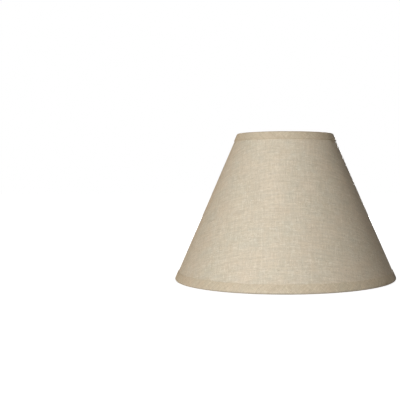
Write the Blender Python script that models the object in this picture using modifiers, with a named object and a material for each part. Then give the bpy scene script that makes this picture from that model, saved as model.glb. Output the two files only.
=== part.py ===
# An empire lamp shade: a hard cone of styrene and linen between two ring wires, a folded cloth trim
# over each rim, and a recessed spider fitter whose washer drops over a lamp harp's stud.
# Metres, +Z up. The origin is on the floor under the shade's centre; the lap seam is at the back, +Y.

import math

import bmesh
import bpy
from mathutils import Matrix, Vector

# The shell, measured over the cover at the sheet's two edges. SLANT runs over both rolled rims.
TOP_DIAMETER = 0.1778
BOTTOM_DIAMETER = 0.4064
SLANT = 0.2921
COVER_THICKNESS = 0.0005
LINER_THICKNESS = 0.0004
LAP_WIDTH = 0.012
LAP_RAMP = 0.008

# The two rim wires and the cloth strip folded over each.
RING_WIRE = 0.0025
TRIM_THICKNESS = 0.0008
TRIM_WIDTH = 0.0157
TRIM_TUCK = 0.0090
TUCK_SLOPE = 0.0016
WIRE_HUG = math.radians(54)

# The spider fitter.
ARM_COUNT = 3
ARM_WIRE = 0.0028
ARM_STUB = 0.0050
ARM_SLOPE = math.radians(62)
ARM_BEND_RADIUS = 0.0040
ARM_BEND_STEPS = 4
FITTER_DROP = 0.0127
WASHER_DIAMETER = 0.0254
WASHER_HOLE = 0.0111
WASHER_THICKNESS = 0.0016
SLIT_CLEARANCE = 0.0006

GAP = 0.0003
COLUMNS = 72
ROLL_SIDES = 6
SIDES_BEFORE_FLOOR = 4
SIDES_BEFORE_CEILING = 2
WIRE_SIDES = 8
WASHER_SIDES = 48
FIRST_ARM = math.radians(30)
SEAM = math.radians(90)
WHOLE_TURN = 2 * math.pi
TRIM_JOINT_COLUMN = 4
SHARP_EDGE = math.radians(35)

# Distances out from the cover's face, square to the wall.
COVER_MIDDLE = -COVER_THICKNESS / 2
LINER_FACE = -COVER_THICKNESS - GAP - LINER_THICKNESS
LINER_MIDDLE = LINER_FACE + LINER_THICKNESS / 2
WIRE_CENTRE = LINER_FACE - GAP - RING_WIRE / 2
OUTER_LEG = GAP + TRIM_THICKNESS / 2
INNER_LEG = LINER_FACE - GAP - TRIM_THICKNESS / 2
LAP_LIFT = COVER_THICKNESS + LINER_THICKNESS + 2 * GAP

# The rolled rim: the fold's cloth runs round the sheet's edge and the wire beside it.
ROLL_INSIDE = (GAP - (WIRE_CENTRE - RING_WIRE / 2 - GAP)) / 2
ROLL_CENTRE = GAP - ROLL_INSIDE
ROLL_MIDDLE = ROLL_INSIDE + TRIM_THICKNESS / 2
ROLL_OUTSIDE = ROLL_INSIDE + TRIM_THICKNESS

# The cone. "Along" runs down the wall from the sheet's top edge, "out" stands square to it.
SHEET = SLANT - 2 * ROLL_OUTSIDE
LEAN = math.asin((BOTTOM_DIAMETER - TOP_DIAMETER) / 2 / SHEET)
SHEET_TOP_Z = ROLL_OUTSIDE + SHEET * math.cos(LEAN) - ROLL_CENTRE * math.sin(LEAN)


def section(along, out):
    """Radius and height of a point given along the wall and out from the cover's face."""
    radius = TOP_DIAMETER / 2 + along * math.sin(LEAN) + out * math.cos(LEAN)
    return radius, SHEET_TOP_Z - along * math.cos(LEAN) + out * math.sin(LEAN)


def around(angle, radius, height):
    """The point at that radius and height, an angle round from +X."""
    return Vector((radius * math.cos(angle), radius * math.sin(angle), height))


def clear_scene():
    for thing in list(bpy.data.objects):
        bpy.data.objects.remove(thing, do_unlink=True)


def new_collection(name):
    collection = bpy.data.collections.new(name)
    bpy.context.scene.collection.children.link(collection)
    return collection


def new_material(name, colour, roughness, metallic=0.0):
    material = bpy.data.materials.new(name)
    material.use_nodes = True
    shader = material.node_tree.nodes["Principled BSDF"]
    shader.inputs["Base Color"].default_value = (*colour, 1)
    shader.inputs["Roughness"].default_value = roughness
    shader.inputs["Metallic"].default_value = metallic
    material.diffuse_color = (*colour, 1)
    return material


def put(thing, name, collection, material=None):
    """Names an object, moves it into its collection and shades it."""
    thing.name = name
    thing.data.name = name
    for other in list(thing.users_collection):
        other.objects.unlink(thing)
    collection.objects.link(thing)
    if material:
        thing.data.materials.append(material)
        thing.data.shade_smooth()
        thing.data.set_sharp_from_angle(angle=SHARP_EDGE)
    return thing


def from_bmesh(shape, name, collection, material):
    mesh = bpy.data.meshes.new(name)
    shape.to_mesh(mesh)
    shape.free()
    return put(bpy.data.objects.new(name, mesh), name, collection, material)


# --- rolled cloth and sheet ---------------------------------------------------------------------


def free_columns():
    """Even columns round all of the wall but the seam, as (turn, arc offset, lift). A column lies
    at the angle turn + offset / radius from the seam, so the seam keeps its width up the wall."""
    foot = LAP_WIDTH / 2 + LAP_RAMP
    shares = [k / COLUMNS for k in range(COLUMNS + 1)]
    return [(WHOLE_TURN * share, foot * (1 - 2 * share), 0.0) for share in shares]


def lap_columns():
    """Columns across the lap, where the sheet's last end lies on its first."""
    half = LAP_WIDTH / 2
    shifts = [-half - 2 * GAP, -half, 0.0, half, half + 2 * GAP]
    return [(WHOLE_TURN, shift, 1.0) for shift in shifts]


def sheet_columns():
    """From the end under the lap, once round, and over that end again."""
    under = [(0.0, shift, 0.0) for _, shift, _ in lap_columns()[1:4]]
    return under + free_columns() + lap_columns()[:4]


def trim_columns():
    """Once round from the trim's own joint, a little to one side of the lap."""
    free = free_columns()
    turn, shift, _ = free[TRIM_JOINT_COLUMN]
    first, last = (turn, shift + GAP / 2, 0.0), (turn + WHOLE_TURN, shift - GAP / 2, 0.0)
    again = [(turn + WHOLE_TURN, shift, lift) for turn, shift, lift in free[:TRIM_JOINT_COLUMN]]
    return [first] + free[TRIM_JOINT_COLUMN + 1 :] + lap_columns() + again + [last]


def column_angle(column, along):
    turn, shift, _ = column
    wall_radius, _ = section(min(max(along, 0), SHEET), 0)
    return SEAM + turn + shift / wall_radius


def rolled(name, rows, columns, thickness, collection, material):
    """A flat strip rolled into the cone. Each row is (along, out, share of the lap's lift)."""
    shape = bmesh.new()
    bmesh.ops.create_grid(shape, x_segments=len(columns) - 1, y_segments=len(rows) - 1, size=1)
    for vertex in shape.verts:
        column = round((vertex.co.x + 1) / 2 * (len(columns) - 1))
        row = round((vertex.co.y + 1) / 2 * (len(rows) - 1))
        along, out, share = rows[row]
        lift = columns[column][2] * share * LAP_LIFT
        vertex.co = around(column_angle(columns[column], along), *section(along, out + lift))
    bmesh.ops.recalc_face_normals(shape, faces=shape.faces)
    thing = from_bmesh(shape, name, collection, material)
    wall = thing.modifiers.new("thickness", "SOLIDIFY")
    wall.thickness = thickness
    wall.offset = 0
    wall.use_even_offset = True
    wall.use_quality_normals = True
    return thing


def tangent_corners(centre, radius, directions):
    """Corners of the polygon whose sides touch a circle, facing the given directions."""
    corners = []
    for one, two in zip(directions, directions[1:]):
        middle = (one + two) / 2
        reach = radius / math.cos((two - one) / 2)
        corners.append((centre + reach * math.cos(middle), reach * math.sin(middle)))
    return corners


def spaced(start, end, steps):
    return [start + (end - start) * k / steps for k in range(steps)]


def trim_rows(end, downwards, level, steps):
    """A trim's section from its outer edge, round the rim at `end`, to its tucked-in edge.
    level is the direction, from straight out, that faces the floor or the ceiling. The lap lifts
    the outer leg, and the lift fades round the roll to nothing at the wire."""
    sides = spaced(0, level, steps) + spaced(level, math.pi, ROLL_SIDES - steps) + [math.pi]
    roll = tangent_corners(ROLL_CENTRE, ROLL_MIDDLE, sides)
    hug = RING_WIRE / 2 + GAP + TRIM_THICKNESS / 2
    past_wire = tangent_corners(WIRE_CENTRE, hug, [math.pi, math.pi + WIRE_HUG])
    tuck = [(INNER_LEG, -hug - TUCK_SLOPE), (INNER_LEG, -TRIM_TUCK)]
    rows = [(end + downwards * (ROLL_OUTSIDE - TRIM_WIDTH), OUTER_LEG, 1)]
    for out, beyond in roll:
        share = (out - WIRE_CENTRE) / (OUTER_LEG - WIRE_CENTRE)
        rows.append((end + downwards * beyond, out, min(max(share, 0), 1)))
    return rows + [(end + downwards * beyond, out, 0) for out, beyond in past_wire + tuck]


def cover_and_liner(parts):
    linen = new_material("linen", (0.63, 0.55, 0.42), 0.9)
    styrene = new_material("white styrene", (0.86, 0.84, 0.78), 0.45)
    cover = [(0, COVER_MIDDLE, 1), (SHEET, COVER_MIDDLE, 1)]
    liner = [(0, LINER_MIDDLE, 1), (SHEET, LINER_MIDDLE, 1)]
    rolled("fabric_cover", cover, sheet_columns(), COVER_THICKNESS, parts, linen)
    rolled("styrene_liner", liner, sheet_columns(), LINER_THICKNESS, parts, styrene)


def trims(parts):
    """Both trims. The top one is slit from its tucked edge at each arm."""
    strip = new_material("linen trim", (0.58, 0.49, 0.34), 0.9)
    floor_side = trim_rows(SHEET, 1, math.pi / 2 + LEAN, SIDES_BEFORE_FLOOR)
    ceiling_side = trim_rows(0, -1, math.pi / 2 - LEAN, SIDES_BEFORE_CEILING)
    rolled("bottom_trim", floor_side, trim_columns(), TRIM_THICKNESS, parts, strip)
    return rolled("top_trim", ceiling_side, trim_columns(), TRIM_THICKNESS, parts, strip)


# --- rings and fitter ---------------------------------------------------------------------------


def ring(name, along, parts, metal):
    """A welded wire ring, with its facets in line with the sheet's."""
    radius, height = section(along, WIRE_CENTRE)
    columns = free_columns() + lap_columns()
    bpy.ops.mesh.primitive_torus_add(
        major_radius=radius,
        minor_radius=RING_WIRE / 2,
        major_segments=len(columns),
        minor_segments=WIRE_SIDES,
        location=(0, 0, height),
    )
    thing = bpy.context.object
    for vertex in thing.data.vertices:
        x, y, z = vertex.co
        turn = math.atan2(y, x) % WHOLE_TURN
        column = columns[round(turn / WHOLE_TURN * len(columns)) % len(columns)]
        vertex.co = around(column_angle(column, along), math.hypot(x, y), z)
    return put(thing, name, parts, metal)


def arm_angles():
    return [FIRST_ARM + WHOLE_TURN * k / ARM_COUNT for k in range(ARM_COUNT)]


def fitter_height():
    return section(0, WIRE_CENTRE)[1] - FITTER_DROP


def rounded_path(corners, radius, steps):
    """Points along a bent wire: straight runs joined by arcs of one radius."""
    points = [corners[0]]
    for before, corner, after in zip(corners, corners[1:], corners[2:]):
        back = (before - corner).normalized()
        ahead = (after - corner).normalized()
        half = back.angle(ahead) / 2
        centre = corner + (back + ahead).normalized() * radius / math.sin(half)
        start = corner + back * radius / math.tan(half) - centre
        turn = math.pi - 2 * half
        axis = back.cross(ahead)
        points += [
            centre + Matrix.Rotation(-turn * k / steps, 3, axis) @ start for k in range(steps + 1)
        ]
    return points + [corners[-1]]


def arm_corners():
    """Radius and height of an arm's bends, from the top ring in to the washer's rim."""
    reach = WIRE_CENTRE - RING_WIRE / 2 - GAP
    start = section(0, reach)
    knee = section(0, reach - ARM_STUB)
    level = fitter_height()
    foot = (knee[0] - (knee[1] - level) / math.tan(ARM_SLOPE), level)
    return [start, knee, foot, (WASHER_DIAMETER / 2 + GAP, level)]


def fitter_arm(name, angle, parts, metal):
    corners = [around(angle, radius, height) for radius, height in arm_corners()]
    points = rounded_path(corners, ARM_BEND_RADIUS, ARM_BEND_STEPS)
    curve = bpy.data.curves.new(name, "CURVE")
    curve.dimensions = "3D"
    curve.bevel_depth = ARM_WIRE / 2
    curve.bevel_resolution = 2
    curve.use_fill_caps = True
    spline = curve.splines.new("POLY")
    spline.points.add(len(points) - 1)
    for point, place in zip(spline.points, points):
        point.co = (*place, 1)
    curve.materials.append(metal)
    thing = bpy.data.objects.new(name, curve)
    parts.objects.link(thing)
    return thing


def washer(parts, metal):
    """A flat ring, turned from its rectangular section."""
    inside, outside, half = WASHER_HOLE / 2, WASHER_DIAMETER / 2, WASHER_THICKNESS / 2
    shape = bmesh.new()
    outline = [(outside, half), (outside, -half), (inside, -half), (inside, half)]
    corners = [shape.verts.new((radius, 0, height)) for radius, height in outline]
    for one, two in zip(corners, corners[1:] + corners[:1]):
        shape.edges.new((one, two))
    thing = from_bmesh(shape, "fitter_washer", parts, metal)
    thing.location.z = fitter_height()
    turned = thing.modifiers.new("turn", "SCREW")
    turned.steps = WASHER_SIDES
    turned.render_steps = WASHER_SIDES
    turned.use_merge_vertices = True
    turned.merge_threshold = 0.00001
    turned.use_smooth_shade = False
    return thing


def slit_for_arms(trim, cutters):
    """Slits in the trim's tucked-in leg, open at its edge, one for each arm."""
    wide = ARM_WIRE + 2 * SLIT_CLEARANCE
    top, bottom = -wide / 2, TRIM_TUCK + 2 * SLIT_CLEARANCE
    outer, inner = LINER_MIDDLE, ROLL_CENTRE - ROLL_OUTSIDE - 2 * SLIT_CLEARANCE
    radius, height = section((top + bottom) / 2, (outer + inner) / 2)
    for number, angle in enumerate(arm_angles(), 1):
        bpy.ops.mesh.primitive_cube_add(size=1)
        cutter = put(bpy.context.object, f"arm_slit_{number}", cutters)
        size = Matrix.Diagonal((outer - inner, wide, bottom - top, 1))
        cutter.data.transform(size)
        tilt = Matrix.Rotation(-LEAN, 4, "Y")
        turn = Matrix.Rotation(angle, 4, "Z")
        cutter.matrix_world = Matrix.Translation(around(angle, radius, height)) @ turn @ tilt
        cutter.hide_render = True
        cutter.display_type = "WIRE"
        cut = trim.modifiers.new(f"arm slit {number}", "BOOLEAN")
        cut.operation = "DIFFERENCE"
        cut.object = cutter


def main():
    clear_scene()
    parts = new_collection("lamp_shade")
    cutters = new_collection("cutters")
    steel = new_material("zinc-plated steel", (0.55, 0.54, 0.51), 0.35, 1.0)
    cover_and_liner(parts)
    top_trim = trims(parts)
    slit_for_arms(top_trim, cutters)
    ring("top_ring", 0, parts, steel)
    ring("bottom_ring", SHEET, parts, steel)
    for number, angle in enumerate(arm_angles(), 1):
        fitter_arm(f"fitter_arm_{number}", angle, parts, steel)
    washer(parts, steel)


main()
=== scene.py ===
import bpy
import numpy as np
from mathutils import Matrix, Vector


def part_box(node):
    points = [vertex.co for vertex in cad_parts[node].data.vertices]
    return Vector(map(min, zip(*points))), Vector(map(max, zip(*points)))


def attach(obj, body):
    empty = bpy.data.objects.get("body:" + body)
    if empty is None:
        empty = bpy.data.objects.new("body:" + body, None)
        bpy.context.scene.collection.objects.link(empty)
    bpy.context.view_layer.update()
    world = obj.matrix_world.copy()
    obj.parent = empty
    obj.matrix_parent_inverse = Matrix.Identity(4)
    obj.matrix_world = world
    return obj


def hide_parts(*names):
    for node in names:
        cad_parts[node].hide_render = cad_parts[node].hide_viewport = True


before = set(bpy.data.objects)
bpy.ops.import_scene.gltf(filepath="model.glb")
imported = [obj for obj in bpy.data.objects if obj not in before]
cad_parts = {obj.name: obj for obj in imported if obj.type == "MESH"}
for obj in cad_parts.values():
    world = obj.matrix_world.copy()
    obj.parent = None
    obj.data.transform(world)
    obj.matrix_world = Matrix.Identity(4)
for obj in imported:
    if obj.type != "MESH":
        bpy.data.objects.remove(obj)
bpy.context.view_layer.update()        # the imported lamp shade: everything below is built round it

whole = 2 * np.pi        # once round the shade
print("frame loaded:", len(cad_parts), "nodes")


def nodePoints(name):
    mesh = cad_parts[name].data
    points = np.empty(len(mesh.vertices) * 3)
    mesh.vertices.foreach_get("co", points)
    return points.reshape(-1, 3)


def readWall():
    # the cone that the cover's outer face follows, read at its two edges, clear of the lap behind
    points = nodePoints("fabric_cover")
    points = points[points[:, 1] < 0]
    radius = np.hypot(points[:, 0], points[:, 1])
    low, high = np.argmax(radius), np.argmax(points[:, 2])
    wider, drop = radius[low] - radius[high], points[high, 2] - points[low, 2]
    return dict(topRadius=radius[high], topHeight=points[high, 2], lean=np.arctan2(wider, drop),
                length=np.hypot(wider, drop))


wall = readWall()
sinLean, cosLean = np.sin(wall["lean"]), np.cos(wall["lean"])


def wallRadius(along):
    return wall["topRadius"] + along * sinLean


def wallPoint(turn, along, out):
    # turn runs round from the front; along runs down the wall; out stands square to it:
    # radius = topRadius + along sin(lean) + out cos(lean)
    # height = topHeight - along cos(lean) + out sin(lean)
    radius = wallRadius(along) + out * cosLean
    height = wall["topHeight"] - along * cosLean + out * sinLean
    return np.stack(np.broadcast_arrays(radius * np.sin(turn), -radius * np.cos(turn), height), -1)


def flatPattern(turn, along):
    # the cone rolled out flat, in metres, about its tip:
    # polar angle = turn sin(lean), distance from the tip = radius / sin(lean)
    reach = wallRadius(along) / sinLean
    return np.stack([reach * np.sin(turn * sinLean), -reach * np.cos(turn * sinLean)], -1)


def ripple(turn, waves, seed):
    # a sum of cosines with whole numbers of waves round the shade, so it closes on itself; about -1 to 1
    dice = np.random.default_rng(seed)
    total = sum(np.cos(wave * turn + dice.uniform(0, whole)) * dice.uniform(0.5, 1) for wave in waves)
    return total / np.sqrt(len(waves))


def smooth(value, low, high):
    # 0 below low, 1 above high, and 3 s^2 - 2 s^3 of the share s of the way between them
    share = np.clip((value - low) / (high - low), 0, 1)
    return share * share * (3 - 2 * share)


sharpEdge = np.radians(50)        # steeper turns between faces stay crisp


def newPiece(name, points, faces, material, node, pattern=None):
    mesh = bpy.data.meshes.new(name)
    mesh.from_pydata(points.tolist(), [], faces)
    mesh.validate()
    if pattern is not None:
        corners = np.empty(len(mesh.loops), dtype=np.int32)
        mesh.loops.foreach_get("vertex_index", corners)
        layer = mesh.uv_layers.new(name="pattern")
        layer.data.foreach_set("uv", pattern[corners].astype(np.float32).ravel())
    mesh.shade_smooth()
    mesh.set_sharp_from_angle(angle=sharpEdge)
    mesh.materials.append(material)
    piece = bpy.data.objects.new(name, mesh)
    bpy.context.scene.collection.objects.link(piece)
    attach(piece, "root")
    if node:
        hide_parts(node)
    return piece


def quads(a, b, c, d):
    return np.stack([a, b, c, d], -1).reshape(-1, 4)


def sheetPiece(name, front, back, pattern, material, node, cloth=None):
    # a sheet as two grids of points, outer and inner face; cloth says which cells of the grid are there;
    # every edge between a cell that is there and one that isn't gets a narrow wall, so the sheet closes
    rows, columns = front.shape[:2]
    count = rows * columns
    index = np.arange(count).reshape(rows, columns)
    kept = np.ones((rows - 1, columns - 1), bool) if cloth is None else cloth
    outer = np.stack([index[:-1, :-1], index[:-1, 1:], index[1:, 1:], index[1:, :-1]], -1)[kept]
    faces = [outer, outer[:, ::-1] + count]
    padded = np.pad(kept, 1)
    for ahead, behind, first, second in (
            (padded[1:, 1:-1], padded[:-1, 1:-1], index[:, 1:], index[:, :-1]),
            (padded[1:-1, 1:], padded[1:-1, :-1], index[:-1], index[1:])):
        for here, one, two in ((ahead & ~behind, first, second), (behind & ~ahead, second, first)):
            faces.append(quads(one[here], two[here], two[here] + count, one[here] + count))
    points = np.concatenate([front.reshape(-1, 3), back.reshape(-1, 3)])
    flat = np.tile(pattern.reshape(-1, 2), (2, 1))
    return newPiece(name, points, np.concatenate(faces).tolist(), material, node, flat)


def tubePiece(name, rings, material, node, loop=False):
    # rings of points carried along a path, row by row; an open tube has a flat cap on each end
    rows, sides = rings.shape[:2]
    index = np.arange(rows * sides).reshape(rows, sides)
    if loop:
        index = np.concatenate([index, index[:1]])
    index = np.concatenate([index, index[:, :1]], 1)
    faces = quads(index[:-1, :-1], index[1:, :-1], index[1:, 1:], index[:-1, 1:]).tolist()
    if not loop:
        faces += [index[0, :-1].tolist(), index[-1, -2::-1].tolist()]
    return newPiece(name, rings.reshape(-1, 3), faces, material, node)


def sweep(path, across, radius, sides):
    # a round section carried along a flat path, where across is square to the plane of the path:
    # point = path + radius (cos(angle) upward + sin(angle) across)
    ahead = np.gradient(path, axis=0)
    ahead /= np.linalg.norm(ahead, axis=1)[:, None]
    upward = np.cross(ahead, across)
    angle = np.linspace(0, whole, sides, endpoint=False)[None, :, None]
    reach = np.broadcast_to(radius, len(path))[:, None, None]
    return path[:, None] + reach * (np.cos(angle) * upward[:, None] + np.sin(angle) * across)


def link(tree, source, socket):
    if isinstance(source, bpy.types.NodeSocket):
        tree.links.new(source, socket)
    else:
        socket.default_value = source


def calc(tree, operation, *values):
    node = tree.nodes.new("ShaderNodeMath")
    node.operation = operation
    for socket, value in zip(node.inputs, values):
        link(tree, value, socket)
    return node.outputs[0]


def stretch(tree, vector, factors):
    node = tree.nodes.new("ShaderNodeVectorMath")
    node.operation = "MULTIPLY"
    link(tree, vector, node.inputs[0])
    node.inputs[1].default_value = factors
    return node.outputs[0]


def combine(tree, x, y, z=0.0):
    node = tree.nodes.new("ShaderNodeCombineXYZ")
    for socket, value in zip(node.inputs, (x, y, z)):
        link(tree, value, socket)
    return node.outputs[0]


def noise(tree, vector, scale=1.0, detail=2.0, roughness=0.5):
    node = tree.nodes.new("ShaderNodeTexNoise")
    link(tree, vector, node.inputs["Vector"])
    link(tree, scale, node.inputs["Scale"])
    node.inputs["Detail"].default_value = detail
    node.inputs["Roughness"].default_value = roughness
    return node.outputs["Fac"]


def remap(tree, value, low, high, start=0.0, end=1.0):
    node = tree.nodes.new("ShaderNodeMapRange")
    node.interpolation_type = "SMOOTHSTEP"
    for socket, number in zip(node.inputs, (value, low, high, start, end)):
        link(tree, number, socket)
    return node.outputs[0]


def blendColour(tree, share, first, second, mode="MIX"):
    # a Mix node's colours are its inputs 6 and 7 and its output 2; its plain numbers are 2, 3 and 0
    node = tree.nodes.new("ShaderNodeMix")
    node.data_type = "RGBA"
    node.blend_type = mode
    link(tree, share, node.inputs[0])
    link(tree, first, node.inputs[6])
    link(tree, second, node.inputs[7])
    return node.outputs[2]


def newGroup(name, inputs, outputs):
    tree = bpy.data.node_groups.new(name, "ShaderNodeTree")
    for label, kind, value in inputs:
        socket = tree.interface.new_socket(name=label, in_out="INPUT", socket_type=kind)
        if value is not None:
            socket.default_value = value
    for label, kind in outputs:
        tree.interface.new_socket(name=label, in_out="OUTPUT", socket_type=kind)
    return tree, tree.nodes.new("NodeGroupInput").outputs, tree.nodes.new("NodeGroupOutput").inputs


# widths are shares of the pitch and heights shares of a thread; grains are waves per metre along x, y
yarn = dict(plainWidth=0.80, slubWidth=0.26, level=0.62, rise=0.34, slubRise=0.22, slubFade=0.12,
            gapFrom=0.05, gapTo=0.34, swayAcross=110, swayAlong=24, toneRun=0.35, unlike=5.37,
            weftStreak=(30, 300, 0), warpStreak=(340, 42, 0), weftShare=0.6,
            weftDash=(130, 620, 0), warpDash=(620, 170, 7), fewerUpright=0.03, dashFrom=0.23, dashTo=0.34)


def linenWeaveGroup():
    # plain weave: thread number = floor(place / pitch), its section is sqrt(1 - (2 offset / width)^2), and it
    # rides up and down as sin(pi (other place + own number)), so neighbours pass over in turn
    decimal = "NodeSocketFloat"
    tree, given, result = newGroup("linenWeave", [
        ("Vector", "NodeSocketVector", None), ("Warp Pitch", decimal, 0.001), ("Weft Pitch", decimal, 0.001),
        ("Wander", decimal, 0.0004), ("Slub Length", decimal, 0.009), ("Slub Cut", decimal, 0.56)],
        [("Height", decimal), ("Gap", decimal), ("Tone", decimal), ("Slub", decimal), ("Streak", decimal),
         ("Thin Place", decimal)])
    axes = tree.nodes.new("ShaderNodeSeparateXYZ")
    link(tree, given["Vector"], axes.inputs[0])
    place = {}
    for own, grain in (("X", (yarn["swayAcross"], yarn["swayAlong"], 0)),
                       ("Y", (yarn["swayAlong"], yarn["swayAcross"], 0))):
        sway = calc(tree, "SUBTRACT", noise(tree, stretch(tree, given["Vector"], grain)), 0.5)
        place[own] = calc(tree, "MULTIPLY_ADD", sway, given["Wander"], axes.outputs[own])
    across = {"X": calc(tree, "DIVIDE", place["X"], given["Warp Pitch"]),
              "Y": calc(tree, "DIVIDE", place["Y"], given["Weft Pitch"])}
    threadNumber = {own: calc(tree, "FLOOR", across[own]) for own in "XY"}
    threads = {}
    for own, other, sign, seed in (("X", "Y", 1.0, 3.0), ("Y", "X", -1.0, 41.0)):
        label = calc(tree, "MULTIPLY", threadNumber[own], yarn["unlike"])
        run = calc(tree, "DIVIDE", axes.outputs[other], given["Slub Length"])
        thick = noise(tree, combine(tree, label, run, seed), detail=1.0)
        slub = remap(tree, thick, given["Slub Cut"], calc(tree, "ADD", given["Slub Cut"], yarn["slubFade"]))
        toneRun = calc(tree, "MULTIPLY", run, yarn["toneRun"])
        tone = noise(tree, combine(tree, label, toneRun, seed + 17), detail=3.0)
        width = calc(tree, "MULTIPLY_ADD", slub, yarn["slubWidth"], yarn["plainWidth"])
        offset = calc(tree, "SUBTRACT", calc(tree, "SUBTRACT", across[own], threadNumber[own]), 0.5)
        share = calc(tree, "DIVIDE", calc(tree, "MULTIPLY", offset, 2.0), width)
        section = calc(tree, "SUBTRACT", 1.0, calc(tree, "MULTIPLY", share, share))
        section = calc(tree, "SQRT", calc(tree, "MAXIMUM", section, 0.0))
        phase = calc(tree, "MULTIPLY", calc(tree, "ADD", across[other], threadNumber[own]), np.pi)
        wave = calc(tree, "MULTIPLY", calc(tree, "SINE", phase), sign)
        lift = calc(tree, "MULTIPLY_ADD", wave, yarn["rise"], yarn["level"])
        lift = calc(tree, "MULTIPLY_ADD", slub, yarn["slubRise"], lift)
        threads[own] = dict(height=calc(tree, "MULTIPLY", section, lift), slub=slub, tone=tone)
    warpUp = calc(tree, "GREATER_THAN", threads["X"]["height"], threads["Y"]["height"])
    height = calc(tree, "MAXIMUM", threads["X"]["height"], threads["Y"]["height"])
    link(tree, height, result["Height"])
    link(tree, remap(tree, height, yarn["gapFrom"], yarn["gapTo"], 1.0, 0.0), result["Gap"])
    for label in ("Tone", "Slub"):
        pick = tree.nodes.new("ShaderNodeMix")        # the thread on top is the one that is seen
        link(tree, warpUp, pick.inputs[0])
        link(tree, threads["Y"][label.lower()], pick.inputs[2])
        link(tree, threads["X"][label.lower()], pick.inputs[3])
        link(tree, pick.outputs[0], result[label])
    # uneven yarn makes streaks, long along the weft and shorter up the warp: share weft + (1 - share) warp
    weftStreak = noise(tree, stretch(tree, given["Vector"], yarn["weftStreak"]), detail=1.0)
    warpStreak = noise(tree, stretch(tree, given["Vector"], yarn["warpStreak"]), detail=1.0)
    warpPart = calc(tree, "MULTIPLY", warpStreak, 1 - yarn["weftShare"])
    link(tree, calc(tree, "MULTIPLY_ADD", weftStreak, yarn["weftShare"], warpPart), result["Streak"])
    # thin places are short dashes where either noise is at its lowest
    weftDash = noise(tree, stretch(tree, given["Vector"], yarn["weftDash"]), detail=1.0)
    warpDash = noise(tree, stretch(tree, given["Vector"], yarn["warpDash"]), detail=1.0)
    lowest = calc(tree, "MINIMUM", weftDash, calc(tree, "ADD", warpDash, yarn["fewerUpright"]))
    link(tree, remap(tree, lowest, yarn["dashFrom"], yarn["dashTo"], 1.0, 0.0), result["Thin Place"])
    return tree


driftNoise = dict(second=0.33, spread=2.2, detail=3.0, roughness=0.55)


def driftGroup():
    # slow change of tone over a surface: noise of two sizes, one three times the other, each pulled away
    # from its middle as 0.5 + spread strength (noise - 0.5)
    decimal = "NodeSocketFloat"
    tree, given, result = newGroup("drift", [
        ("Vector", "NodeSocketVector", None), ("Size", decimal, 0.04), ("Strength", decimal, 1.0)],
        [("Share", decimal), ("Second Share", decimal)])
    scale = calc(tree, "DIVIDE", 1.0, given["Size"])
    for label, factor in (("Share", 1.0), ("Second Share", driftNoise["second"])):
        patch = noise(tree, given["Vector"], calc(tree, "MULTIPLY", scale, factor), driftNoise["detail"],
                      driftNoise["roughness"])
        away = calc(tree, "MULTIPLY", calc(tree, "SUBTRACT", patch, 0.5), given["Strength"])
        spread = calc(tree, "MULTIPLY_ADD", away, driftNoise["spread"], 0.5)
        link(tree, remap(tree, spread, 0.0, 1.0), result[label])
    return tree


def placeGroup(tree, group, values):
    node = tree.nodes.new("ShaderNodeGroup")
    node.node_tree = group
    for label, value in values.items():
        link(tree, value, node.inputs[label])
    return node.outputs


def newMaterial(name, constants):
    material = bpy.data.materials.new(name)
    material.use_nodes = True
    tree = material.node_tree
    shader = tree.nodes["Principled BSDF"]
    for label, value in constants.items():
        shader.inputs[label].default_value = value
    return material, tree, shader


def bump(tree, shader, height, distance, strength):
    node = tree.nodes.new("ShaderNodeBump")
    node.inputs["Strength"].default_value = strength
    node.inputs["Distance"].default_value = distance
    link(tree, height, node.inputs["Height"])
    link(tree, node.outputs["Normal"], shader.inputs["Normal"])


def patternPlace(tree, turned=0.0):
    source = tree.nodes.new("ShaderNodeUVMap")
    source.uv_map = "pattern"
    mapping = tree.nodes.new("ShaderNodeMapping")
    mapping.inputs["Rotation"].default_value[2] = turned
    link(tree, source.outputs["UV"], mapping.inputs["Vector"])
    return mapping.outputs["Vector"]


def objectPlace(tree):
    return tree.nodes.new("ShaderNodeTexCoord").outputs["Object"]


linenWeave = linenWeaveGroup()
drift = driftGroup()
print("shared node groups built")


# each cloth's hole colour is painted shade in the gaps between the threads
coverCloth = dict(pitch=0.00095, pale=(0.66, 0.588, 0.472, 1), deep=(0.49, 0.416, 0.29, 1),
                  hole=(0.26, 0.20, 0.14, 1), slub=(0.74, 0.69, 0.595, 1), grey=(0.545, 0.525, 0.43, 1),
                  blush=(0.65, 0.535, 0.405, 1), turned=0.0, streak=0.07)
# the trim's last colour and its share give a greyer band along the rolled rim: painted shade there, with
# handling dirt
trimCloth = dict(pitch=0.00095, pale=(0.612, 0.528, 0.389, 1), deep=(0.455, 0.371, 0.25, 1),
                 hole=(0.25, 0.185, 0.12, 1), slub=(0.70, 0.63, 0.495, 1), grey=(0.51, 0.47, 0.36, 1),
                 blush=(0.625, 0.495, 0.365, 1), turned=np.radians(45), streak=0.07,
                 foldShadeAndDirt=(0.36, 0.35, 0.32, 1), foldShadeAndDirtShare=0.38)


# shares are how far each effect pulls the thread's colour towards its own; the last two pairs place the
# trim's band of painted shade and dirt along the rolled rim
linenLook = dict(weftPitch=1.08, driftSize=0.018, toneFrom=0.22, toneTo=0.78, streakFrom=0.3, streakTo=0.7,
                 slub=0.75, grey=0.42, blush=0.42, thin=0.55, hole=0.7, thinAsGapShade=0.5, roughDeep=0.65,
                 roughTop=0.42, relief=0.0003, press=0.8, foldBandFrom=(0.0130, 0.0165), foldBandTo=(0.020, 0.024))
# what is the same all over the linen, by the shader's sockets; the sheen is its fuzz
linenShader = {"IOR": 1.5, "Specular IOR Level": 0.55, "Sheen Weight": 0.22, "Sheen Roughness": 0.5,
               "Sheen Tint": (1.0, 0.60, 0.25, 1)}


def pull(tree, share, most, colour, towards):
    return blendColour(tree, calc(tree, "MULTIPLY", share, most), colour, towards)


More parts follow.
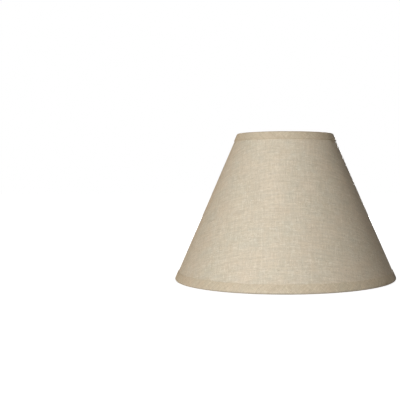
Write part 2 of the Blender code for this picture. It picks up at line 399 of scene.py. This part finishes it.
def linenMaterial(name, cloth):
    # colour = thread tone between deep and pale, slubs paler, thin places darker, holes darker as painted
    # shade between the threads, slow drift to grey and blush, all times 1 +- streak;
    # on the trim a greyer band along the rolled rim, painted shade with handling dirt
    material, tree, shader = newMaterial(name, linenShader)
    look = linenLook
    place = patternPlace(tree, cloth["turned"])
    weave = placeGroup(tree, linenWeave, {"Vector": place, "Warp Pitch": cloth["pitch"],
                                          "Weft Pitch": cloth["pitch"] * look["weftPitch"]})
    slow = placeGroup(tree, drift, {"Vector": place, "Size": look["driftSize"], "Strength": 1.0})
    tone = remap(tree, weave["Tone"], look["toneFrom"], look["toneTo"])
    colour = blendColour(tree, tone, cloth["deep"], cloth["pale"])
    colour = pull(tree, weave["Slub"], look["slub"], colour, cloth["slub"])
    colour = pull(tree, slow["Share"], look["grey"], colour, cloth["grey"])
    colour = pull(tree, slow["Second Share"], look["blush"], colour, cloth["blush"])
    colour = pull(tree, weave["Thin Place"], look["thin"], colour, cloth["deep"])
    shade = remap(tree, weave["Streak"], look["streakFrom"], look["streakTo"], 1 - cloth["streak"],
                  1 + cloth["streak"])
    colour = blendColour(tree, 1.0, colour, combine(tree, shade, shade, shade), "MULTIPLY")
    if "foldShadeAndDirt" in cloth:
        # painted shade and handling dirt along the rolled rim: a greyer band over the fold round the wire,
        # rising across the strip at the first pair of places and ending at the second
        strip = tree.nodes.new("ShaderNodeSeparateXYZ")
        link(tree, patternPlace(tree), strip.inputs[0])
        foldShadeAndDirtMask = calc(tree, "SUBTRACT", remap(tree, strip.outputs["Y"], *look["foldBandFrom"]),
                       remap(tree, strip.outputs["Y"], *look["foldBandTo"]))
        colour = pull(tree, foldShadeAndDirtMask, cloth["foldShadeAndDirtShare"], colour, cloth["foldShadeAndDirt"])
    # painted shade: gaps between the threads, and half of each thin place, are pulled towards the dark hole
    # colour
    thinGapShade = calc(tree, "MULTIPLY", weave["Thin Place"], look["thinAsGapShade"])
    hole = calc(tree, "MAXIMUM", weave["Gap"], thinGapShade)
    colour = pull(tree, hole, look["hole"], colour, cloth["hole"])
    link(tree, colour, shader.inputs["Base Color"])
    link(tree, remap(tree, weave["Height"], 0.0, 1.0, look["roughDeep"], look["roughTop"]),
         shader.inputs["Roughness"])
    bump(tree, shader, weave["Height"], look["relief"], look["press"])
    return material


# grains are waves per metre, reliefs are in metres
styrene = dict(pale=(0.86, 0.84, 0.78, 1), yellowed=(0.80, 0.77, 0.69, 1), patch=0.05, ior=1.55,
               scuffGrain=(420, 420, 60), scuffFrom=0.3, scuffTo=0.7, roughFrom=0.34, roughTo=0.58,
               relief=0.00004, press=0.5)


def styreneMaterial():
    # near-white sheet: a little yellower in slow patches, with fine scuffs in its roughness
    material, tree, shader = newMaterial("whiteStyrene", {"IOR": styrene["ior"]})
    place = objectPlace(tree)
    slow = placeGroup(tree, drift, {"Vector": place, "Size": styrene["patch"], "Strength": 1.0})
    colour = blendColour(tree, slow["Share"], styrene["pale"], styrene["yellowed"])
    link(tree, colour, shader.inputs["Base Color"])
    scuff = noise(tree, stretch(tree, place, styrene["scuffGrain"]), detail=4.0, roughness=0.65)
    rough = remap(tree, scuff, styrene["scuffFrom"], styrene["scuffTo"], styrene["roughFrom"],
                  styrene["roughTo"])
    link(tree, rough, shader.inputs["Roughness"])
    bump(tree, shader, scuff, styrene["relief"], styrene["press"])
    return material


steel = dict(wirePale=(0.72, 0.70, 0.66, 1), wireDull=(0.50, 0.49, 0.46, 1), weldPale=(0.52, 0.50, 0.46, 1),
             weldDull=(0.30, 0.28, 0.26, 1), patch=0.006, patchStrength=1.2, grain=(900, 900, 900),
             dullFrom=0.6, dullTo=1.4, roughFrom=0.24, roughTo=0.52, relief=0.00003, press=0.6)


def steelMaterial(name, pale, dull):
    # zinc plating: a fine grain, and duller patches that are rougher too
    material, tree, shader = newMaterial(name, {"Metallic": 1.0})
    place = objectPlace(tree)
    slow = placeGroup(tree, drift, {"Vector": place, "Size": steel["patch"],
                                    "Strength": steel["patchStrength"]})
    grain = noise(tree, stretch(tree, place, steel["grain"]), detail=3.0)
    link(tree, blendColour(tree, slow["Share"], pale, dull), shader.inputs["Base Color"])
    dulled = calc(tree, "ADD", grain, slow["Share"])
    rough = remap(tree, dulled, steel["dullFrom"], steel["dullTo"], steel["roughFrom"], steel["roughTo"])
    link(tree, rough, shader.inputs["Roughness"])
    bump(tree, shader, grain, steel["relief"], steel["press"])
    return material


coverLinen = linenMaterial("coverLinen", coverCloth)
trimLinen = linenMaterial("trimLinen", trimCloth)
whiteStyrene = styreneMaterial()
platedSteel = steelMaterial("platedSteel", steel["wirePale"], steel["wireDull"])
weldSteel = steelMaterial("weldSteel", steel["weldPale"], steel["weldDull"])
print("finishes made")


shell = dict(coverThickness=0.0006, linerThickness=0.0005, lapWidth=0.012, lapRamp=0.009, lapLead=0.0004,
             bonded=0.00005, slowSway=0.00028, slowWaves=(2, 3, 5, 7), rimSway=0.4, quickSway=0.00010,
             quickWaves=(11, 17, 23), coverGrid=(420, 44), linerGrid=(300, 24))
lapLift = shell["coverThickness"] + shell["linerThickness"] + 2 * shell["bonded"]


def shellTurns(along, columns):
    # from the end under the lap round to the end over it: +-(pi + half the lap / radius)
    share = np.linspace(-1, 1, columns)[:, None]
    return share * (np.pi + shell["lapWidth"] / 2 / wallRadius(along))


def lapRise(turn, along):
    # the last end climbs over the first just before it meets it, at turn = pi - half the lap / radius
    arc = (turn - np.pi) * wallRadius(along)
    top = -shell["lapWidth"] / 2 - shell["lapLead"]
    return lapLift * smooth(arc, top - shell["lapRamp"], top)


def wallSway(turn, along):
    # the hand-rolled cone is never quite round: slow bulges, strongest halfway down as
    # rimSway + (1 - rimSway) sin(pi along / length), and smaller quick ones
    middle = np.sin(np.pi * np.clip(along / wall["length"], 0, 1))
    strength = shell["rimSway"] + (1 - shell["rimSway"]) * middle
    slow = shell["slowSway"] * ripple(turn, shell["slowWaves"], 11) * strength
    return slow + shell["quickSway"] * ripple(turn, shell["quickWaves"], 12)


def rolledSheet(name, outFace, thickness, grid, material, node):
    # both faces of a sheet on the wall: out = outFace + the lap's rise + the sway, less the thickness inside
    columns, rows = grid
    along = np.linspace(0, wall["length"], rows)[None, :]
    turn = shellTurns(along, columns)
    out = outFace + lapRise(turn, along) + wallSway(turn, along)
    front = wallPoint(turn, along, out)
    back = wallPoint(turn, along, out - thickness)
    return sheetPiece(name, front, back, flatPattern(turn, along), material, node)


linerFace = -shell["coverThickness"] - shell["bonded"]
cover = rolledSheet("linenCover", 0.0, shell["coverThickness"], shell["coverGrid"], coverLinen,
                    "fabric_cover")
liner = rolledSheet("styreneLiner", linerFace, shell["linerThickness"], shell["linerGrid"], whiteStyrene,
                    "styrene_liner")


trim = dict(thickness=0.0010, width=0.0157, tuck=0.0090, standsOff=0.0001, wire=0.00125, foldSwell=0.32,
            swellReach=0.0011, edgeWave=0.00022, edgeSlow=(5, 9, 14, 22), edgeQuick=(41, 57, 83),
            pucker=0.00007, puckerWaves=(61, 97, 134, 171), puckerGroups=(7, 13), overlap=0.011,
            besideLap=0.030, lapFade=(0.0005, 0.005), endFade=(0.0004, 0.0045), thinEdge=0.02, columns=620,
            spots=40)
# the folded line is laid out in fine steps, softened by averaging, then read at the spots; closeSpots are
# shares of the half thickness, near each edge
foldLine = dict(rollSteps=60, hugTo=np.pi * 4 / 3, hugSteps=16, settle=0.6, evenSteps=240, softenings=14,
                closeSpots=(0.0, 0.08, 0.3, 0.65, 1.0), clear=1.6, outsideShare=0.6)
# a slit parts the tucked leg round an arm; lead is where it opens before the wire, as (start, full)
slit = dict(half=0.00004, lead=(0.0030, 0.0012), wide=0.0019, shut=0.0004, closeFrom=0.0014, spread=0.005)


def trimSection():
    # middle line of the folded strip as (out, beyond the rim's wire): down the wall, round the rolled rim on
    # a circle, tighter round the wire, then flat against the liner; evenly spaced and softened by averaging
    half = trim["thickness"] / 2
    cadTrim = nodePoints("bottom_trim")
    frontTrim = cadTrim[cadTrim[:, 1] < 0]
    squareOut = (np.hypot(frontTrim[:, 0], frontTrim[:, 1]) - wall["topRadius"]) * cosLean
    squareOut += (frontTrim[:, 2] - wall["topHeight"]) * sinLean
    reachOut, reachIn = squareOut.max(), squareOut.min()
    rollCentre, rollRadius = (reachOut + reachIn) / 2, (reachOut - reachIn) / 2 - half
    inside = linerFace - shell["linerThickness"] - trim["standsOff"] - half
    hug = trim["wire"] + trim["standsOff"] + half
    wireCentre = rollCentre - rollRadius + hug
    rollAngle = np.linspace(0, np.pi, foldLine["rollSteps"])
    hugAngle = np.linspace(np.pi, foldLine["hugTo"], foldLine["hugSteps"])[1:]
    path = [np.array([[rollCentre + rollRadius, rollRadius + half - trim["width"]]])]
    path.append(np.stack([rollCentre + rollRadius * np.cos(rollAngle), rollRadius * np.sin(rollAngle)], 1))
    path.append(np.stack([wireCentre + hug * np.cos(hugAngle), hug * np.sin(hugAngle)], 1))
    lastOut, lastBeyond = path[-1][-1]
    settled = lastBeyond - (inside - lastOut) * foldLine["settle"]
    path.append(np.array([[inside, settled], [inside, -trim["tuck"]]]))
    path = np.concatenate(path)
    step = np.concatenate([[0], np.cumsum(np.linalg.norm(np.diff(path, axis=0), axis=1))])
    even = np.linspace(0, step[-1], foldLine["evenSteps"])
    line = np.stack([np.interp(even, step, path[:, k]) for k in (0, 1)], 1)
    for _ in range(foldLine["softenings"]):
        line[1:-1] = (line[:-2] + 2 * line[1:-1] + line[2:]) / 4
    ends = half * np.array(foldLine["closeSpots"])
    clear = half * foldLine["clear"]
    between = np.linspace(clear, step[-1] - clear, trim["spots"])
    spots = np.concatenate([ends, between, step[-1] - ends[::-1]])
    middle = np.stack([np.interp(spots, even, line[:, k]) for k in (0, 1)], 1)
    slope = np.gradient(middle, spots, axis=0)
    normal = np.stack([-slope[:, 1], slope[:, 0]], 1)
    normal /= -np.linalg.norm(normal, axis=1)[:, None]
    return middle, normal, spots, step[-1], wireCentre


def armTurn(node):
    x, y, _ = nodePoints(node).mean(0)
    return float(np.arctan2(x, -y))


armNodes = ("fitter_arm_1", "fitter_arm_2", "fitter_arm_3")
armTurns = [armTurn(node) for node in armNodes]
trimMiddle, trimNormal, trimSpots, trimLong, wireOut = trimSection()
trimHug = trimSpots[np.argmin(trimMiddle[:, 0])]


def trimPiece(name, node, rim, downwards, seed, slits=()):
    # the section carried round the rim: rounded at both edges by sqrt(1 - (1 - distance / half)^2), with a
    # fuller hem, a wandering edge and small puckers
    start = -np.pi + trim["besideLap"] / wallRadius(rim)
    end = start + whole + trim["overlap"] / wallRadius(rim)
    slitHalf = slit["half"] / wallRadius(rim)
    turn = np.linspace(start, end, trim["columns"])
    turn = np.sort(np.concatenate([turn] + [[arm - slitHalf, arm + slitHalf] for arm in slits]))[:, None]
    half = trim["thickness"] / 2
    fromEnd = np.minimum(trimSpots, trimLong - trimSpots)
    rounded = np.sqrt(np.clip(1 - (1 - np.clip(fromEnd / half, 0, 1)) ** 2, trim["thinEdge"], 1))
    full = half * rounded * (1 + trim["foldSwell"] * np.exp(-(trimSpots / trim["swellReach"]) ** 2))
    out, beyond = trimMiddle[None, :, 0], trimMiddle[None, :, 1]
    onOutside = np.where(trimSpots < trimLong * foldLine["outsideShare"], 1.0, 0.0)[None]
    onWall = smooth(out, wireOut, trimMiddle[0, 0]) * onOutside
    towardsEdge = smooth(-beyond, 0.0, trim["width"]) * onWall
    edge = 0.6 * ripple(turn, trim["edgeSlow"], seed) + 0.5 * ripple(turn, trim["edgeQuick"], seed + 1)
    along = rim + downwards * (beyond - trim["edgeWave"] * edge * towardsEdge)
    arc = (np.mod(turn, whole) - np.pi) * wallRadius(rim)
    reach = shell["lapWidth"] / 2
    near, far = trim["lapFade"]
    overLap = smooth(arc, -reach - shell["lapRamp"], -reach) * smooth(-arc, -reach - far, -reach - near)
    near, far = trim["endFade"]
    overOwn = smooth((turn - start - whole) * wallRadius(rim), -far, -near)
    puckers = ripple(turn, trim["puckerWaves"], seed + 2)
    puckers = puckers * (0.5 + 0.5 * ripple(turn, trim["puckerGroups"], seed + 3))
    awayFromWire = np.sign(out - wireOut + trim["standsOff"])
    lift = lapLift * overLap * onWall + (trim["thickness"] + trim["standsOff"]) * overOwn * awayFromWire
    lift = lift + trim["pucker"] * puckers * towardsEdge
    # a slit is wide at the wire and nearly shut again at the cloth's edge
    opens = smooth(trimSpots, trimHug - slit["lead"][0], trimHug - slit["lead"][1])
    closes = smooth(trimSpots, trimHug + slit["closeFrom"], trimLong)
    parted = (opens * (slit["wide"] - (slit["wide"] - slit["shut"]) * closes))[None]
    shifted = turn + np.zeros_like(out)
    cloth = np.ones((len(turn) - 1, len(trimSpots) - 1), bool)
    for arm in slits:
        beside = (turn - arm) * wallRadius(rim)
        share = np.sign(beside) * np.exp(-np.abs(beside) / slit["spread"])
        shifted = shifted + parted * share / wallRadius(rim)
        gap = np.flatnonzero(np.isclose(turn[:-1, 0], arm - slitHalf, atol=1e-9))
        cloth[gap, np.searchsorted(trimSpots, trimHug - slit["lead"][0]):] = False
    sides = []
    for side in (1, -1):
        outSide = out + lift + side * full[None] * trimNormal[None, :, 0]
        alongSide = along + downwards * side * full[None] * trimNormal[None, :, 1]
        sides.append(wallPoint(shifted, alongSide, outSide + wallSway(turn, np.full((1, 1), rim))))
    pattern = np.stack(np.broadcast_arrays(turn * wallRadius(rim), trimSpots[None]), -1)
    if downwards < 0:
        sides.reverse()
    piece = sheetPiece(name, sides[0], sides[1], pattern, trimLinen, node, cloth)


trimPiece("bottomTrim", "bottom_trim", wall["length"], 1, 21)
trimPiece("topTrim", "top_trim", 0.0, -1, 35, armTurns)


ring = dict(columns=360, sides=16)


def ringPiece(name, node):
    # a round wire carried round the axis: radius r + wire cos(angle), height z + wire sin(angle)
    low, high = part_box(node)
    wire = (high[2] - low[2]) / 2
    radius, height = (high[0] - low[0]) / 2 - wire, (high[2] + low[2]) / 2
    turn = np.linspace(0, whole, ring["columns"], endpoint=False)
    path = np.stack([radius * np.sin(turn), -radius * np.cos(turn), np.full_like(turn, height)], 1)
    ahead = np.stack([np.cos(turn), np.sin(turn), np.zeros_like(turn)], 1)
    outward = np.stack([np.sin(turn), -np.cos(turn), np.zeros_like(turn)], 1)
    angle = np.linspace(0, whole, ring["sides"], endpoint=False)[None, :, None]
    upward = np.array([0, 0, 1.0])
    rings = path[:, None] + wire * (np.cos(angle) * outward[:, None] + np.sin(angle) * upward)
    piece = tubePiece(name, rings, platedSteel, node, loop=True)
    return radius, height, wire


ringPiece("bottomRing", "bottom_ring")
ringRadius, ringHeight, ringWire = ringPiece("topRing", "top_ring")
offMiddle = (ringRadius - wallRadius(0)) / cosLean - wireOut
print("rings made; wire sits", round(float(offMiddle) * 1e3, 3), "mm from the trim's own middle")

# intoRing is a share of the ring's wire, intoWasher a depth; a weld's sizes are along, across and upward
fitter = dict(wire=0.0028, stub=0.0050, slope=np.radians(62), bend=0.0040, bendSteps=10, sides=16,
              intoRing=0.9, intoWasher=0.0001, weldAtRing=(0.0015, 0.0021, 0.0019),
              weldAtWasher=(0.0019, 0.0025, 0.0012), weldGrid=(12, 18), weldPole=0.02,
              weldLumps=(0.10, 0.06))


def bentWire(corners, radius, steps):
    # straight runs joined by arcs of one radius, in the flat (radius, height) plane of one arm:
    # arc = centre + first cos(share) + square sin(share), from the end of one run to the start of the next
    runs = [corners[:1]]
    for before, corner, after in zip(corners, corners[1:], corners[2:]):
        back = (before - corner) / np.linalg.norm(before - corner)
        ahead = (after - corner) / np.linalg.norm(after - corner)
        half = np.arccos(back @ ahead) / 2
        centre = corner + (back + ahead) / np.linalg.norm(back + ahead) * radius / np.sin(half)
        first = corner + back * radius / np.tan(half) - centre
        last = corner + ahead * radius / np.tan(half) - centre
        share = np.linspace(0, 1, steps)[:, None] * (np.pi - 2 * half)
        square = (last - first * np.cos(np.pi - 2 * half)) / np.sin(np.pi - 2 * half)
        runs.append(centre + first * np.cos(share) + square * np.sin(share))
    return np.concatenate(runs + [corners[-1:]])


def inArmPlane(flat, turn):
    # x = radius sin(turn), y = -radius cos(turn), z = height
    return np.stack([flat[:, 0] * np.sin(turn), -flat[:, 0] * np.cos(turn), flat[:, 1]], 1)


def armCorners():
    # as (radius, height): out of the top ring's wire square to the wall, down the slope, level to the washer
    inward = np.array([-cosLean, -sinLean])
    start = np.array([ringRadius, ringHeight]) + inward * ringWire * fitter["intoRing"]
    knee = start + inward * fitter["stub"]
    low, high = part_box("fitter_washer")
    level, rimRadius = (low[2] + high[2]) / 2, (high[0] - low[0]) / 2
    foot = np.array([knee[0] - (knee[1] - level) / np.tan(fitter["slope"]), level])
    return np.array([start, knee, foot, [rimRadius - fitter["intoWasher"], level]])


def weldBead(centre, turn, sizes):
    # a squashed ball, long across the wire: rings of points from pole to pole, swollen by
    # 1 + wide sin(3 around + 2 turn) sin(2 polar) + narrow cos(5 around + turn)
    (rows, columns), (wide, narrow) = fitter["weldGrid"], fitter["weldLumps"]
    polar = np.linspace(fitter["weldPole"], np.pi - fitter["weldPole"], rows)[:, None]
    around = np.linspace(0, whole, columns, endpoint=False)[None, :]
    lump = 1 + wide * np.sin(3 * around + 2 * turn) * np.sin(2 * polar) + narrow * np.cos(5 * around + turn)
    local = np.stack(np.broadcast_arrays(sizes[0] * np.cos(polar),
                                         sizes[1] * np.sin(polar) * np.cos(around) * lump,
                                         sizes[2] * np.sin(polar) * np.sin(around) * lump), -1)
    axes = np.array([[np.sin(turn), -np.cos(turn), 0], [np.cos(turn), np.sin(turn), 0], [0, 0, 1.0]])
    return centre + local @ axes


corners = armCorners()
wirePath = bentWire(corners, fitter["bend"], fitter["bendSteps"])
welds = (("ring", corners[0], fitter["weldAtRing"]), ("washer", corners[-1], fitter["weldAtWasher"]))
for number, (node, turn) in enumerate(zip(armNodes, armTurns), 1):
    across = np.array([np.cos(turn), np.sin(turn), 0])
    rings = sweep(inArmPlane(wirePath, turn), across, fitter["wire"] / 2, fitter["sides"])
    arm = tubePiece(f"fitterArm{number}", rings, platedSteel, node)
    for label, place, sizes in welds:
        centre = inArmPlane(place[None], turn)[0]
        bead = tubePiece(f"{label}Weld{number}", weldBead(centre, turn, sizes), weldSteel, None)


washer = dict(hole=0.0111, edgeRounding=0.00035, cornerStep=15, columns=160)


def washerPiece():
    # the washer's section, a bar with rounded corners, turned round the axis:
    # (radius, height) = corner centre + rounding (cos toward, sin toward)
    low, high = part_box("fitter_washer")
    level, halfThick, outside = (low[2] + high[2]) / 2, (high[2] - low[2]) / 2, (high[0] - low[0]) / 2
    inside, rounding = washer["hole"] / 2, washer["edgeRounding"]
    angle = np.radians(np.arange(0, 91, washer["cornerStep"]))
    wide, narrow, up = outside - rounding, inside + rounding, halfThick - rounding
    section = []
    for quarter, centre in enumerate(((wide, up), (narrow, up), (narrow, -up), (wide, -up))):
        toward = angle + quarter * np.pi / 2
        section.append(centre + rounding * np.stack([np.cos(toward), np.sin(toward)], 1))
    radius, height = np.concatenate(section).T[:, None]
    turn = np.linspace(0, whole, washer["columns"], endpoint=False)[:, None]
    rings = np.stack(np.broadcast_arrays(radius * np.sin(turn), -radius * np.cos(turn), level + height), -1)
    piece = tubePiece("fitterWasher", rings, platedSteel, "fitter_washer", loop=True)


washerPiece()
print("fitter built: three arms welded between ring and washer")

camera = dict(distance=1.394, height=0.188, focal=67.3, sensor=36.0, shift=-0.18, yaw=1.01, pitch=1.743,
              roll=0.184, clip=0.05)


def addCamera():
    data = bpy.data.cameras.new("camera")
    data.lens = camera["focal"]
    data.sensor_width = camera["sensor"]
    data.shift_x = camera["shift"]
    data.clip_start = camera["clip"]
    place = bpy.data.objects.new("camera", data)
    bpy.context.scene.collection.objects.link(place)
    place.location = (0, -camera["distance"], camera["height"])
    place.rotation_euler = np.radians((90 - camera["pitch"], camera["roll"], camera["yaw"]))
    bpy.context.scene.camera = place


# the floor's glow is given inside the rim, where it is lowered as a painted shadow under the shade, near it
# and far away; bounce is what the shade gets of it;
# ambient lights the shade from all round, mirrored is what its gloss shows
stage = dict(floorSize=14, floorColour=(0.3, 0.3, 0.3, 1), floorRough=0.9, underRim=0.0006, paintedShadowGlow=0.4,
             glowNear=0.93, glowFar=1.02, paintedShadowFade=(0.15, 0.204), farFade=(0.3, 1.6), bounce=0.11,
             roomColour=(1.0, 0.96, 0.90, 1), white=(1, 1, 1, 1), ambient=0.088, mirrored=0.33)


def addStage():
    bpy.ops.mesh.primitive_plane_add(size=stage["floorSize"], location=(0, 0, -stage["underRim"]))
    floor = bpy.context.object
    floor.name = "floor"
    # the floor glows a little more with distance from the shade, until it meets the white behind it,
    # and less where the shade stands over it, a painted shadow under the shade
    material, tree, shader = newMaterial("paleFloor", {"Roughness": stage["floorRough"],
                                                       "Emission Strength": 1.0})
    shader.inputs["Base Color"].default_value = stage["floorColour"]
    away = tree.nodes.new("ShaderNodeVectorMath")
    away.operation = "LENGTH"
    link(tree, objectPlace(tree), away.inputs[0])
    glow = remap(tree, away.outputs["Value"], *stage["farFade"], stage["glowNear"], stage["glowFar"])
    # painted shadow: the glow falls away inside the rim
    inside = remap(tree, away.outputs["Value"], *stage["paintedShadowFade"], stage["paintedShadowGlow"], 1.0)
    glow = calc(tree, "MULTIPLY", glow, inside)
    seen = tree.nodes.new("ShaderNodeLightPath").outputs["Is Camera Ray"]
    glow = remap(tree, seen, 0.0, 1.0, stage["bounce"], glow)
    link(tree, combine(tree, glow, glow, glow), shader.inputs["Emission Color"])
    floor.data.materials.append(material)
    world = bpy.data.worlds.new("studio")
    bpy.context.scene.world = world
    world.use_nodes = True
    tree = world.node_tree
    background = tree.nodes["Background"]
    path = tree.nodes.new("ShaderNodeLightPath")
    level = remap(tree, path.outputs["Is Glossy Ray"], 0.0, 1.0, stage["ambient"], stage["mirrored"])
    level = remap(tree, path.outputs["Is Camera Ray"], 0.0, 1.0, level, 1.0)
    link(tree, level, background.inputs["Strength"])
    # what the room gives back is a little warmer than the white that is seen
    colour = blendColour(tree, path.outputs["Is Camera Ray"], stage["roomColour"], stage["white"])
    link(tree, colour, background.inputs["Color"])


aim = 0.13        # the lamps point at this height on the shade's axis
lights = [dict(name="key", azimuth=-20, elevation=5, distance=2.0, size=1.3, power=55),
          dict(name="behind", azimuth=178, elevation=7, distance=2.2, size=1.0, power=36)]


def addLights():
    for light in lights:
        data = bpy.data.lights.new(light["name"], "AREA")
        data.shape = "SQUARE"
        data.size = light["size"]
        data.energy = light["power"]
        lamp = bpy.data.objects.new(light["name"], data)
        bpy.context.scene.collection.objects.link(lamp)
        azimuth, elevation = np.radians(light["azimuth"]), np.radians(light["elevation"])
        lamp.location = (light["distance"] * np.sin(azimuth) * np.cos(elevation),
                         -light["distance"] * np.cos(azimuth) * np.cos(elevation),
                         aim + light["distance"] * np.sin(elevation))
        lamp.rotation_euler = (np.radians(90) - elevation, 0, azimuth)
        lamp.visible_camera = False


addCamera()
addStage()
addLights()
bpy.context.scene.view_settings.view_transform = "Standard"
print("stage, lights and camera set")
